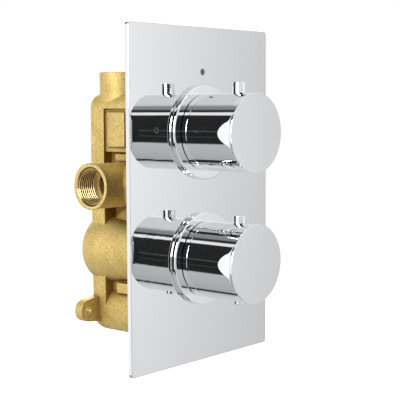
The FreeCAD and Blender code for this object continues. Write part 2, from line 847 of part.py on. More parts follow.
save(make_body(), "valve_body")
save(make_screw_plug(0, foot_height, foot_front, foot_bore_r, foot_bore_r + 4, foot_plug_head,
                     foot_plug_depth), "foot_plug")
save(make_plug_ring(0, foot_height, foot_front, foot_bore_r), "foot_plug_oring")
save(Part.makeCompound([
    make_screw_plug(side * service_boss_reach, inlet_height, service_boss_front, service_bore_r,
                    service_plug_head_r, service_plug_head, service_plug_length) for side in (-1, 1)]),
    "service_plugs")
save(Part.makeCompound([
    make_plug_ring(side * service_boss_reach, inlet_height, service_boss_front, service_bore_r)
    for side in (-1, 1)]), "service_plug_orings")


# ------------------------------------------------- parts common to both inserts
ring_place = nose_front + 4.0
groove_floor = spindle_r - 2 * ring_section


def spindle_outline(tail):
    """Spindle from the back of its splines, with the groove of its rubber ring."""
    return ((spline_back, 0), (spline_back, spindle_r), (ring_place - ring_groove / 2, spindle_r),
            (ring_place - ring_groove / 2, groove_floor), (ring_place + ring_groove / 2, groove_floor),
            (ring_place + ring_groove / 2, spindle_r)) + tail


def make_spindle(height, tail):
    spindle = turned_y(height, spindle_outline(tail))
    spindle = spindle.fuse(star_bar(height, spline_front, spline_back + 1, spline_root_r, spline_tip_r))
    return spindle.cut(screw_hole(height))


def make_spindle_ring(height):
    middle = (groove_floor + spindle_r + running_gap) / 2
    return rubber_ring((0, ring_place, height), (0, 1, 0), middle, ring_section - running_gap / 2)


def make_gland(height):
    ring = ring_y(height, nose_front + 0.5, gland_back - seat_gap, gland_r, spindle_r + running_gap)
    collar = hex_bar((0, nose_front - 2.5, height), (0, 1, 0), gland_r - 0.4, 3.5)
    return ring.fuse(collar.cut(rod_y(height, nose_front - 3, nose_front + 2, spindle_r + running_gap)))


def insert_shell(height, outer, inner):
    """Turned insert: nose, flange under the sleeve, then the outer and inner stations."""
    outline = [(nose_front, gland_r + cartridge_gap), (nose_front, nose_r), (flange_front, nose_r),
               (flange_front, sleeve_r - seat_gap), (flange_back, sleeve_r - seat_gap)]
    return turned_y(height, outline + list(outer) + list(inner)
                    + [(gland_back, gland_r + cartridge_gap)])


def groove_stations(centre, radius, section, width):
    floor = radius - 2 * section
    return [(centre - width / 2, radius), (centre - width / 2, floor),
            (centre + width / 2, floor), (centre + width / 2, radius)]


def groove_ring(height, centre, radius, section):
    fit = section - cartridge_gap / 2
    return rubber_ring((0, centre, height), (0, 1, 0), radius + cartridge_gap - section, fit)


def round_slots(height, y0, y1, half_width, reach, count):
    """Slots straight through the axis; count of them, evenly turned."""
    slots = []
    for i in range(count):
        slot = box(-half_width, half_width, y0, y1, height - reach, height + reach)
        slot.rotate(Vector(0, 0, height), Vector(0, 1, 0), 180 * i / count)
        slots.append(slot)
    return slots


def round_holes(height, y0, y1, circle, radius, count):
    holes = []
    for i in range(count):
        turn = 2 * math.pi * i / count
        hole = rod_y(height + circle * math.sin(turn), y0, y1, radius, circle * math.cos(turn))
        holes.append(hole)
    return holes


# ------------------------------------------------------------- flow cartridge
flow_ring_place = flange_back + 3.0
flow_body_back = seal_front
flow_neck_back = flow_chamber[0] - 2.0


def make_flow_body():
    outer = [(flange_back, flow_cartridge_r)]
    outer += groove_stations(flow_ring_place, flow_cartridge_r, large_ring_section, large_ring_groove)
    slim = flow_inner_r + flow_wall
    outer += [(flow_chamber[0] - 1, flow_cartridge_r), (flow_chamber[0] - 1, slim),
              (flow_chamber[1], slim), (flow_chamber[1], flow_cartridge_r),
              (flow_body_back, flow_cartridge_r)]
    inner = [(flow_body_back, flow_inner_r), (flow_neck_back, flow_inner_r),
             (flow_neck_back, spindle_r + running_gap), (gland_back, spindle_r + running_gap)]
    shell = insert_shell(axis_height, outer, inner)
    windows = round_slots(axis_height, window_front, window_back, window_half_width, flow_cartridge_r, 2)
    return shell.cut(windows)


def fork(y0, y1, half_length):
    bar = box(-half_length, half_length, y0, y1, axis_height - fork_width / 2, axis_height + fork_width / 2)
    return bar.common(rod_y(axis_height, y0, y1, disc_r - 0.4))


def make_flow_spindle():
    fork_front = moving_disc_front - fork_thickness
    stop = flow_neck_back + 0.2
    spindle = make_spindle(axis_height, (
        (stop, spindle_r), (stop, spindle_r + 1.6), (stop + 2, spindle_r + 1.6), (stop + 2, spindle_r),
        (fork_front + 1, spindle_r), (fork_front + 1, 0)))
    return spindle.fuse(fork(fork_front, moving_disc_front + fork_tongue, disc_r)).removeSplitter()


def sector_hole(height, y0, y1, start):
    outline = ((y0, disc_hub_r), (y0, disc_opening_r), (y1, disc_opening_r), (y1, disc_hub_r))
    return sector_y(height, outline, start - disc_opening_angle / 2, disc_opening_angle)


def make_valve_disc(y0, thickness, start):
    disc = rod_y(axis_height, y0, y0 + thickness, disc_r)
    return disc.cut([sector_hole(axis_height, y0 - 1, y0 + thickness + 1, start + turn)
                     for turn in (0, 180)])


def make_moving_disc():
    disc = make_valve_disc(moving_disc_front, moving_disc_thickness, 0)
    slot = box(-disc_r - 1, disc_r + 1, moving_disc_front - 1, moving_disc_front + fork_tongue + 0.05,
               axis_height - fork_width / 2 - 0.05, axis_height + fork_width / 2 + 0.05)
    return disc.cut(slot)


save(make_flow_body(), "flow_cartridge_body")
save(groove_ring(axis_height, flow_ring_place, flow_cartridge_r, large_ring_section), "flow_cartridge_oring")
save(make_gland(axis_height), "flow_gland_nut")
save(make_flow_spindle(), "flow_spindle")
save(make_spindle_ring(axis_height), "flow_spindle_oring")
save(make_moving_disc(), "flow_moving_disc")
save(make_valve_disc(fixed_disc_front, fixed_disc_thickness, 90), "flow_fixed_disc")
save(ring_y(axis_height, seal_front, flow_bore_end, seal_r, seal_bore_r), "flow_seat_seal")


# ------------------------------------------------------- thermostatic cartridge
front_ring_place = flange_back + front_ring_set_back
middle_ring_place = (hot_chamber[1] + cold_chamber[0]) / 2
rear_ring_place = cold_chamber[1] + 2.5
strainer_floor = cartridge_r - 1.7
cap_bore_r = housing_bore_r + 1.5


def make_housing():
    outer = [(flange_back, cartridge_r)]
    outer += groove_stations(front_ring_place, cartridge_r, large_ring_section, large_ring_groove)
    outer += [(hot_chamber[0], cartridge_r), (hot_chamber[0], strainer_floor),
              (hot_chamber[1], strainer_floor), (hot_chamber[1], cartridge_r)]
    outer += groove_stations(middle_ring_place, cartridge_r, large_ring_section, large_ring_groove)
    outer += [(cold_chamber[0], cartridge_r), (cold_chamber[0], strainer_floor),
              (cold_chamber[1], strainer_floor), (cold_chamber[1], cartridge_r)]
    outer += groove_stations(rear_ring_place, cartridge_r, large_ring_section, large_ring_groove)
    outer += [(housing_back, cartridge_r)]
    inner = [(housing_back, cap_bore_r), (end_cap_front - 0.05, cap_bore_r),
             (end_cap_front - 0.05, housing_bore_r), (flange_back, housing_bore_r),
             (flange_back, collar_stop_r + 0.2), (gland_back, collar_stop_r + 0.2)]
    shell = insert_shell(-axis_height, outer, inner)
    hot_slots = round_slots(-axis_height, shuttle_front - slot_open, shuttle_front - slot_open + slot_length,
                            slot_half_width, cartridge_r, 3)
    cold_slots = round_slots(-axis_height, shuttle_back + slot_open - slot_length, shuttle_back + slot_open,
                             slot_half_width, cartridge_r, 3)
    keyway = box(0, key_reach + 0.1, flange_back, drive_nut_back + 1,
                 -axis_height - key_half_width - 0.1, -axis_height + key_half_width + 0.1)
    return shell.cut(hot_slots + cold_slots + [keyway])


def make_thermo_spindle():
    collar = flange_front + 0.5
    return make_spindle(-axis_height, (
        (collar, spindle_r), (collar, collar_stop_r), (stop_back, collar_stop_r),
        (stop_back, drive_thread_r), (drive_thread_back, drive_thread_r), (drive_thread_back, 0)))


def make_drive_nut():
    outer = housing_bore_r - running_gap
    nut = turned_y(-axis_height, (
        (nut_front, drive_thread_r + running_gap), (nut_front, outer), (drive_nut_back, outer),
        (drive_nut_back, drive_cup_r), (drive_nut_floor, drive_cup_r),
        (drive_nut_floor, drive_thread_r + running_gap)))
    key = box(drive_cup_r + 0.5, key_reach, nut_front, drive_nut_back,
              -axis_height - key_half_width, -axis_height + key_half_width)
    return nut.fuse(key)


def make_wax_element():
    flange_end = thrust_flange_front + thrust_flange_thickness
    return turned_y(-axis_height, (
        (thrust_flange_front, 0), (thrust_flange_front, thrust_flange_r), (flange_end, thrust_flange_r),
        (flange_end, element_stem_r), (shuttle_front - 1, element_stem_r), (shuttle_front - 1, element_r),
        (shuttle_web_front - 1.5, element_r), (shuttle_web_front - 1.5, hub_r),
        (shuttle_web_front, hub_r), (shuttle_web_front, element_r),
        (element_back, element_r), (element_back, 0)))


def make_shuttle():
    outer = housing_bore_r - running_gap
    inner = outer - shuttle_wall
    web_back = shuttle_web_front + shuttle_web
    shuttle = turned_y(-axis_height, (
        (shuttle_front, inner), (shuttle_front, outer), (shuttle_back, outer), (shuttle_back, inner),
        (web_back, inner), (web_back, element_r + running_gap),
        (shuttle_web_front, element_r + running_gap), (shuttle_web_front, inner)))
    return shuttle.cut(round_holes(-axis_height, shuttle_web_front - 1, web_back + 1,
                                   (hub_r + inner) / 2, 0.7, 10))


def make_end_cap():
    cap = ring_y(-axis_height, end_cap_front, end_cap_front + end_cap_thickness,
                 cap_bore_r - seat_gap, end_cap_bore_r)
    circle = (cap_bore_r + end_cap_bore_r) / 2 + 0.6
    return cap.cut(round_holes(-axis_height, end_cap_front - 1, housing_back + 1, circle, 1.1, 10))


def make_strainer(chamber):
    outer = cartridge_r - 0.3
    mesh = ring_y(-axis_height, chamber[0] + seat_gap, chamber[1] - seat_gap, outer, outer - strainer_wall)
    return mesh.cut(round_slots(-axis_height, chamber[0] + 1, chamber[1] - 1, strainer_slot_width / 2,
                                cartridge_r, strainer_slots // 2))


def coil_y(y0, y1, radius, turns):
    return spring((0, y0 + 0.02, -axis_height), (0, 1, 0), radius, spring_wire_r, y1 - y0 - 0.04, turns)


overload_spring_r = drive_cup_r - 2 * spring_wire_r - 0.6
return_spring_r = hub_r + spring_wire_r + 0.1
save(make_housing(), "thermo_housing")
save(make_gland(-axis_height), "thermo_gland_nut")
save(make_thermo_spindle(), "thermo_spindle")
save(make_spindle_ring(-axis_height), "thermo_spindle_oring")
save(make_drive_nut(), "thermo_drive_nut")
save(coil_y(drive_nut_floor, thrust_flange_front, overload_spring_r, overload_spring_turns),
     "thermo_overload_spring")
save(make_wax_element(), "thermo_wax_element")
save(make_shuttle(), "thermo_shuttle")
save(coil_y(shuttle_web_front + shuttle_web, end_cap_front, return_spring_r, return_spring_turns),
     "thermo_return_spring")
save(make_end_cap(), "thermo_end_cap")
save(make_strainer(hot_chamber), "thermo_hot_strainer")
save(make_strainer(cold_chamber), "thermo_cold_strainer")
for name, place in (("front", front_ring_place), ("middle", middle_ring_place), ("rear", rear_ring_place)):
    save(groove_ring(-axis_height, place, cartridge_r, large_ring_section), "thermo_" + name + "_oring")


# --------------------------------------------------------------- check valves
poppet_face = check_outer_reach - check_seat_thickness
poppet_back = poppet_face - 0.1 - check_poppet_thickness


def along_inlet(side, stations):
    """Turned piece on the inlets' line; stations are (distance from the middle, radius)."""
    return turned_x([(side * x, radius) for x, radius in stations])


def make_check_housing(side):
    outer = port_bore_r - seat_gap
    inner = outer - check_wall
    guide = check_inner_reach + check_guide_thickness + 0.1
    shell = along_inlet(side, (
        (check_outer_reach, check_seat_r), (check_outer_reach, outer), (check_inner_reach + 0.1, outer),
        (check_inner_reach + 0.1, check_stem_r + running_gap), (guide, check_stem_r + running_gap),
        (guide, inner), (poppet_face, inner), (poppet_face, check_seat_r)))
    circle = (check_guide_r + check_chamber_r) / 2
    holes = []
    for i in range(6):
        turn = math.pi * i / 3
        start = (side * (check_inner_reach - 1), inlet_depth + circle * math.cos(turn),
                 inlet_height + circle * math.sin(turn))
        holes.append(rod(start, (side, 0, 0), 1.6, check_guide_thickness + 3))
    return shell.cut(holes)


def make_poppet(side):
    return along_inlet(side, (
        (poppet_face - 0.1, 0), (poppet_face - 0.1, check_poppet_r), (poppet_back, check_poppet_r),
        (poppet_back, check_stem_r), (check_inner_reach + 0.3, check_stem_r), (check_inner_reach + 0.3, 0)))


def make_check_spring(side):
    guide = check_inner_reach + check_guide_thickness + 0.1
    start = (side * (guide + 0.02), inlet_depth, inlet_height)
    return spring(start, (side, 0, 0), check_guide_r - check_spring_wire, check_spring_wire,
                  poppet_back - guide - 0.04, check_spring_turns)


def make_inlet_strainer(side):
    outer = port_bore_r - seat_gap
    x0 = side * (check_outer_reach + 0.05)
    disc = rod((x0, inlet_depth, inlet_height), (side, 0, 0), outer, inlet_strainer_thickness)
    slots = []
    for i in range(-3, 4):
        place = inlet_depth + i * 2 * inlet_strainer_slot
        half = math.sqrt((outer - 1.5) ** 2 - (place - inlet_depth) ** 2)
        slots.append(box(-check_outer_reach - 5, check_outer_reach + 5, place - inlet_strainer_slot / 2,
                         place + inlet_strainer_slot / 2, inlet_height - half, inlet_height + half))
    return disc.cut(slots)


for name, side in (("hot", -1), ("cold", 1)):
    save(make_check_housing(side), name + "_check_housing")
    save(make_poppet(side), name + "_check_poppet")
    save(make_check_spring(side), name + "_check_spring")
    save(make_inlet_strainer(side), name + "_inlet_strainer")
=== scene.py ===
import bpy
import math
from mathutils import Matrix, Vector


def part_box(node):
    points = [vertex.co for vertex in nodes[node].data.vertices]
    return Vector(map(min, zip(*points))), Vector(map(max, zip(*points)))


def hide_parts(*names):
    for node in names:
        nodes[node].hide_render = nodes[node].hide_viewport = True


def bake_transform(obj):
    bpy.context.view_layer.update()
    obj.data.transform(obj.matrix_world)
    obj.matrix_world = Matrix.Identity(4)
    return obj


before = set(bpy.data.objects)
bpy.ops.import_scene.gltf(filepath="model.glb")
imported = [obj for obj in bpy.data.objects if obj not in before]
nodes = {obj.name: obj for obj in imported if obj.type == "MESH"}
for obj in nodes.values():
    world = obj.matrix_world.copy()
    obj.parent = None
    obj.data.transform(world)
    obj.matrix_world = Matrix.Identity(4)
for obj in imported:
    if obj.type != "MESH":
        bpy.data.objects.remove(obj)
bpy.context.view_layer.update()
mm = 0.001
print("frame loaded,", len(nodes), "nodes")


# ---- small helpers

def toLinear(hexColour):
    parts = [int(hexColour[i:i + 2], 16) / 255 for i in (1, 3, 5)]
    return tuple(p / 12.92 if p <= 0.04045 else ((p + 0.055) / 1.055) ** 2.4 for p in parts) + (1.0,)


def addNode(tree, kind, settings=None, links=None):
    # settings: socket or property values; links: socket to (node, output)
    node = tree.nodes.new(kind)
    for key, value in (settings or {}).items():
        if isinstance(key, int) or key in node.inputs:
            node.inputs[key].default_value = value
        else:
            setattr(node, key, value)
    for key, (source, output) in (links or {}).items():
        tree.links.new(source.outputs[output], node.inputs[key])
    return node


def setStops(ramp, stops):
    # stops: (place, colour) pairs, from the ramp's left end
    elements = ramp.color_ramp.elements
    while len(elements) < len(stops):
        elements.new(0.5)
    for element, (place, colour) in zip(elements, stops):
        element.position = place
        element.color = colour


def startMaterial(name, finish):
    material = bpy.data.materials.new(name)
    material.use_nodes = True
    tree = material.node_tree
    tree.nodes.clear()
    shader = addNode(tree, "ShaderNodeBsdfPrincipled", finish)
    addNode(tree, "ShaderNodeOutputMaterial", None, {"Surface": (shader, "BSDF")})
    return material, tree, shader


# In the settings below, lengths are in mm and a texture's scale is 1000 over its size.

# ---- chrome

plateChrome = {"tone": "#F1F2F4", "metallic": 1.0, "roughness": 0.025,
               "streakLength": 60, "streakReach": 100, "streakWidth": 1.4, "streakDepth": 0.006}


def mirrorPlate():
    # bright chrome on a lapped sheet: a near-perfect mirror with faint level polishing streaks
    c = plateChrome
    material, tree, shader = startMaterial("lappedChromePlate", {
        "Base Color": toLinear(c["tone"]), "Metallic": c["metallic"], "Roughness": c["roughness"]})
    place = addNode(tree, "ShaderNodeTexCoord")
    scale = (1000 / c["streakLength"], 1000 / c["streakReach"], 1000 / c["streakWidth"])
    stretch = addNode(tree, "ShaderNodeMapping", {"Scale": scale}, {"Vector": (place, "Object")})
    streaks = addNode(tree, "ShaderNodeTexNoise", {"Scale": 1.0, "Detail": 2.0}, {"Vector": (stretch, 0)})
    bump = addNode(tree, "ShaderNodeBump", {"Strength": 1.0, "Distance": c["streakDepth"] * mm},
                   {"Height": (streaks, 0)})
    tree.links.new(bump.outputs[0], shader.inputs["Normal"])
    return material


handleChrome = {"tone": "#FBFCFE", "metallic": 1.0, "roughness": 0.02, "waveWidth": 9, "waveDepth": 0.012}


def polishedHandle():
    # chrome over turned and buffed brass: a mirror whose reflections waver a little
    c = handleChrome
    material, tree, shader = startMaterial("buffedChromeHandle", {
        "Base Color": toLinear(c["tone"]), "Metallic": c["metallic"], "Roughness": c["roughness"]})
    place = addNode(tree, "ShaderNodeTexCoord")
    waves = addNode(tree, "ShaderNodeTexNoise", {"Scale": 1000 / c["waveWidth"], "Detail": 1.0},
                    {"Vector": (place, "Object")})
    bump = addNode(tree, "ShaderNodeBump", {"Strength": 1.0, "Distance": c["waveDepth"] * mm},
                   {"Height": (waves, 0)})
    tree.links.new(bump.outputs[0], shader.inputs["Normal"])
    return material


# ---- brass, steel and copper

castBrass = {"lit": "#E3CB89", "litFrom": 0.88, "deep": "#B99C4D", "deepTo": 0.48,
             "grain": 1.1, "patch": 12, "patchShare": 0.35, "pit": 1.6, "pitShare": 0.4, "grainDepth": 0.16,
             "metallic": 0.55, "roughness": 0.56, "edgeRound": 1.2,
             # the next tone is painted shade for corners, recesses and the places near the plate, with some
             # tarnish
             "paintedShadeTone": "#8C6A28", "paintedShadeReach": 20,
             "paintedShadeOpen": {"From Min": 0.38, "From Max": 0.84},
             # the root tone on this line is painted shade in the thread roots, with some dirt; the cut tone
             # is bright machined brass
             "cutTone": "#F4D892", "cutRoughness": 0.16, "paintedRootShadeTone": "#6B4B1B",
             "rootRise": {"From Min": 12.15 * mm, "From Max": 12.5 * mm},
             "rimFall": {"From Min": 13.7 * mm, "From Max": 13.3 * mm}}

# where the tool has cut: a point on the hole's axis, the axis (0 X, 1 Y, 2 Z), how far out the cut starts
# and its radius; a fold reads places without their signs, so that one hole stands for its mirror images
inletPort = {"point": (0.0, 54.2, 6.1), "axis": 0, "start": 31.0, "radius": 14.3,
             "foldAcross": False, "foldAlong": True}
outletPort = {"point": (0.0, 73.4, 0.0), "axis": 2, "start": 60.0, "radius": 14.3,
              "foldAcross": False, "foldAlong": False}
lugHole = {"point": (28.0, 0.0, 85.5), "axis": 1, "start": 70.0, "radius": 3.1,
           "foldAcross": True, "foldAlong": True}


def sandCastBrass():
    # brass poured into sand: a fine even grain, duller patches, painted shade (with some tarnish) darkening
    # the corners, and every edge left soft;
    # the pipe threads and the lugs' holes are cut bright, with painted shade (with some dirt) darkening the
    # thread roots
    c = castBrass
    material, tree, shader = startMaterial("sandCastBrass", {"Metallic": c["metallic"]})
    place = addNode(tree, "ShaderNodeTexCoord")
    grain = addNode(tree, "ShaderNodeTexNoise",
                    {"Scale": 1000 / c["grain"], "Detail": 3.0, "Roughness": 0.6},
                    {"Vector": (place, "Object")})
    patches = addNode(tree, "ShaderNodeTexNoise", {"Scale": 1000 / c["patch"], "Detail": 3.0},
                      {"Vector": (place, "Object")})
    pits = addNode(tree, "ShaderNodeTexVoronoi", {"Scale": 1000 / c["pit"]}, {"Vector": (place, "Object")})
    mixed = addNode(tree, "ShaderNodeMath", {"operation": "MULTIPLY_ADD", 1: c["patchShare"]},
                    {0: (patches, 0), 2: (grain, 0)})
    shade = addNode(tree, "ShaderNodeValToRGB", None, {"Fac": (mixed, 0)})
    setStops(shade, ((c["deepTo"], toLinear(c["deep"])), (c["litFrom"], toLinear(c["lit"]))))

    soft = addNode(tree, "ShaderNodeBevel", {"samples": 6, "Radius": c["edgeRound"] * mm})
    rough = addNode(tree, "ShaderNodeMath", {"operation": "MULTIPLY_ADD", 1: c["pitShare"]},
                    {0: (pits, 0), 2: (grain, 0)})
    bump = addNode(tree, "ShaderNodeBump", {"Strength": 1.0, "Distance": c["grainDepth"] * mm},
                   {"Height": (rough, 0), "Normal": (soft, 0)})

    # painted shade: ambient occlusion darkens corners, recesses and the places near the plate, with some
    # tarnish in them
    openness = addNode(tree, "ShaderNodeAmbientOcclusion", {"samples": 8, "Distance": c["paintedShadeReach"] * mm})
    free = addNode(tree, "ShaderNodeMapRange", c["paintedShadeOpen"], {"Value": (openness, "AO")})
    skin = addNode(tree, "ShaderNodeMix", {"data_type": "RGBA", 6: toLinear(c["paintedShadeTone"])},
                   {0: (free, 0), 7: (shade, 0)})

    # one mask for each kind of hole, and the distance from its axis
    folded = addNode(tree, "ShaderNodeVectorMath", {"operation": "ABSOLUTE"}, {0: (place, "Object")})
    masks = []
    reaches = []
    for hole in (inletPort, outletPort, lugHole):
        across = (folded, 0) if hole["foldAcross"] else (place, "Object")
        lengthwise = (folded, 0) if hole["foldAlong"] else (place, "Object")
        keep = tuple(0.0 if i == hole["axis"] else 1.0 for i in range(3))
        centre = tuple(p * mm for p in hole["point"])
        flat = addNode(tree, "ShaderNodeVectorMath", {"operation": "MULTIPLY", 1: keep}, {0: across})
        reach = addNode(tree, "ShaderNodeVectorMath", {"operation": "DISTANCE", 1: centre}, {0: (flat, 0)})
        within = addNode(tree, "ShaderNodeMath", {"operation": "LESS_THAN", 1: hole["radius"] * mm},
                         {0: (reach, 1)})
        spot = addNode(tree, "ShaderNodeSeparateXYZ", None, {0: lengthwise})
        beyond = addNode(tree, "ShaderNodeMath", {"operation": "GREATER_THAN", 1: hole["start"] * mm},
                         {0: (spot, hole["axis"])})
        masks.append(addNode(tree, "ShaderNodeMath", {"operation": "MULTIPLY"},
                             {0: (within, 0), 1: (beyond, 0)}))
        reaches.append(reach)
    ports = addNode(tree, "ShaderNodeMath", {"operation": "MAXIMUM"}, {0: (masks[0], 0), 1: (masks[1], 0)})
    cutHere = addNode(tree, "ShaderNodeMath", {"operation": "MAXIMUM"}, {0: (ports, 0), 1: (masks[2], 0)})

    # the roots lie between the thread's crests and the port's rim; they get painted shade, with some dirt
    nearest = addNode(tree, "ShaderNodeMath", {"operation": "MINIMUM"},
                      {0: (reaches[0], 1), 1: (reaches[1], 1)})
    pastCrest = addNode(tree, "ShaderNodeMapRange", c["rootRise"], {"Value": (nearest, 0)})
    beforeRim = addNode(tree, "ShaderNodeMapRange", c["rimFall"], {"Value": (nearest, 0)})
    root = addNode(tree, "ShaderNodeMath", {"operation": "MULTIPLY"}, {0: (pastCrest, 0), 1: (beforeRim, 0)})
    paintedRootShade = addNode(tree, "ShaderNodeMath", {"operation": "MULTIPLY"}, {0: (root, 0), 1: (ports, 0)})
    cut = addNode(tree, "ShaderNodeMix",
                  {"data_type": "RGBA", 6: toLinear(c["cutTone"]), 7: toLinear(c["paintedRootShadeTone"])},
                  {0: (paintedRootShade, 0)})

    tone = addNode(tree, "ShaderNodeMix", {"data_type": "RGBA"}, {0: (cutHere, 0), 6: (skin, 2), 7: (cut, 2)})
    gloss = addNode(tree, "ShaderNodeMapRange", {"To Min": c["roughness"], "To Max": c["cutRoughness"]},
                    {"Value": (cutHere, 0)})
    plain = addNode(tree, "ShaderNodeNewGeometry")
    facing = addNode(tree, "ShaderNodeMix", {"data_type": "VECTOR"},
                     {0: (cutHere, 0), 4: (bump, 0), 5: (plain, "Normal")})
    tree.links.new(tone.outputs[2], shader.inputs["Base Color"])
    tree.links.new(gloss.outputs[0], shader.inputs["Roughness"])
    tree.links.new(facing.outputs[1], shader.inputs["Normal"])
    return material


turnedBrass = {"bright": "#E2C27A", "brightFrom": 0.7, "dull": "#C9A457", "dullTo": 0.3, "patch": 6.25,
               "ringPitch": 3.14, "ringWobble": 0.3, "ringDepth": 0.012, "metallic": 0.95, "roughness": 0.24}
waveTurn = 2 * math.pi / 20  # length of one band of a wave texture at scale 1


def latheTurnedBrass():
    # brass left from the lathe: feed rings round the Y axis, drawn coarser than the real 0.1 mm to show
    c = turnedBrass
    material, tree, shader = startMaterial("latheTurnedBrass",
                                           {"Metallic": c["metallic"], "Roughness": c["roughness"]})
    place = addNode(tree, "ShaderNodeTexCoord")
    rings = addNode(tree, "ShaderNodeTexWave",
                    {"wave_type": "BANDS", "bands_direction": "Y",
                     "Scale": waveTurn * 1000 / c["ringPitch"], "Distortion": c["ringWobble"]},
                    {"Vector": (place, "Object")})
    patches = addNode(tree, "ShaderNodeTexNoise", {"Scale": 1000 / c["patch"], "Detail": 3.0},
                      {"Vector": (place, "Object")})
    shade = addNode(tree, "ShaderNodeValToRGB", None, {"Fac": (patches, 0)})
    setStops(shade, ((c["dullTo"], toLinear(c["dull"])), (c["brightFrom"], toLinear(c["bright"]))))
    bump = addNode(tree, "ShaderNodeBump", {"Strength": 1.0, "Distance": c["ringDepth"] * mm},
                   {"Height": (rings, 1)})
    tree.links.new(shade.outputs[0], shader.inputs["Base Color"])
    tree.links.new(bump.outputs[0], shader.inputs["Normal"])
    return material


stainless = {"bright": "#C9CBCD", "brightFrom": 0.7, "dull": "#A9ACAF", "dullTo": 0.3,
             "brushLength": 12, "brushWidth": 0.4, "brushDepth": 0.01, "metallic": 1.0, "roughness": 0.3}
springWire = {"bright": "#B4B6BA", "brightFrom": 0.7, "dull": "#83868B", "dullTo": 0.3,
              "brushLength": 5, "brushWidth": 0.3, "brushDepth": 0.01, "metallic": 1.0, "roughness": 0.35}


def brushedSteel(name, c):
    # stainless steel with a short brushed grain along X, which breaks up its highlights
    material, tree, shader = startMaterial(name, {"Metallic": c["metallic"], "Roughness": c["roughness"]})
    place = addNode(tree, "ShaderNodeTexCoord")
    scale = (1000 / c["brushLength"], 1000 / c["brushWidth"], 1000 / c["brushWidth"])
    stretch = addNode(tree, "ShaderNodeMapping", {"Scale": scale}, {"Vector": (place, "Object")})
    grain = addNode(tree, "ShaderNodeTexNoise", {"Scale": 1.0, "Detail": 2.0}, {"Vector": (stretch, 0)})
    shade = addNode(tree, "ShaderNodeValToRGB", None, {"Fac": (grain, 0)})
    setStops(shade, ((c["dullTo"], toLinear(c["dull"])), (c["brightFrom"], toLinear(c["bright"]))))
    bump = addNode(tree, "ShaderNodeBump", {"Strength": 1.0, "Distance": c["brushDepth"] * mm},
                   {"Height": (grain, 0)})
    tree.links.new(shade.outputs[0], shader.inputs["Base Color"])
    tree.links.new(bump.outputs[0], shader.inputs["Normal"])
    return material


copperSleeve = {"bright": "#D98E6A", "brightFrom": 0.65, "tarnish": "#A8623F", "tarnishTo": 0.35,
                "patch": 3.0, "metallic": 1.0, "roughness": 0.28}


def drawnCopper():
    # drawn copper: warm and bright, with brown tarnish in soft patches
    c = copperSleeve
    material, tree, shader = startMaterial("drawnCopper",
                                           {"Metallic": c["metallic"], "Roughness": c["roughness"]})
    place = addNode(tree, "ShaderNodeTexCoord")
    patches = addNode(tree, "ShaderNodeTexNoise", {"Scale": 1000 / c["patch"], "Detail": 4.0},
                      {"Vector": (place, "Object")})
    shade = addNode(tree, "ShaderNodeValToRGB", None, {"Fac": (patches, 0)})
    setStops(shade, ((c["tarnishTo"], toLinear(c["tarnish"])), (c["brightFrom"], toLinear(c["bright"]))))
    tree.links.new(shade.outputs[0], shader.inputs["Base Color"])
    return material


# ---- rubber, foam, plastics, ceramic and the marks' filling

# nitrile rubber, moulded: near black with a faint grey bloom
nitrile = {"high": "#2B2B2D", "low": "#161617", "bloom": 2.0,
           "metallic": 0.0, "roughness": 0.55, "depth": 0.02}
# closed-cell foam, sliced: dark and dull, with the cells showing as lighter specks
foamSheet = {"high": "#4A4A4D", "low": "#2B2B2E", "bloom": 0.9,
             "metallic": 0.0, "roughness": 0.9, "depth": 0.25}
# acetal, moulded: milky white with a low sheen
acetal = {"high": "#F0EFEA", "low": "#E2E1DA", "bloom": 6.0,
          "metallic": 0.0, "roughness": 0.38, "depth": 0.01}
# glass-filled nylon, moulded: charcoal, with the glass fibres clouding the skin
glassFilled = {"high": "#2A2A2C", "low": "#18181A", "bloom": 1.1,
               "metallic": 0.0, "roughness": 0.48, "depth": 0.03}
# alumina, fired and ground flat: cream and close to polished
alumina = {"high": "#F3EFE2", "low": "#E6E0CF", "bloom": 0.8,
           "metallic": 0.0, "roughness": 0.16, "depth": 0.004}
# paint filling in an etched mark: flat mid grey
etchedGrey = {"high": "#8F9194", "low": "#75777A", "bloom": 0.5,
              "metallic": 0.0, "roughness": 0.55, "depth": 0.02}
speckEnds = (0.25, 0.75)


def mottled(name, c, texture):
    # bloom: size of the light and dark specks, which also stand proud by depth
    material, tree, shader = startMaterial(name, {"Metallic": c["metallic"], "Roughness": c["roughness"]})
    place = addNode(tree, "ShaderNodeTexCoord")
    specks = addNode(tree, texture, {"Scale": 1000 / c["bloom"]}, {"Vector": (place, "Object")})
    shade = addNode(tree, "ShaderNodeValToRGB", None, {"Fac": (specks, 0)})
    setStops(shade, ((speckEnds[0], toLinear(c["low"])), (speckEnds[1], toLinear(c["high"]))))
    bump = addNode(tree, "ShaderNodeBump", {"Strength": 1.0, "Distance": c["depth"] * mm},
                   {"Height": (specks, 0)})
    tree.links.new(shade.outputs[0], shader.inputs["Base Color"])
    tree.links.new(bump.outputs[0], shader.inputs["Normal"])
    return material


def dress(material, *names):
    for name in names:
        nodes[name].data.materials.clear()
        nodes[name].data.materials.append(material)


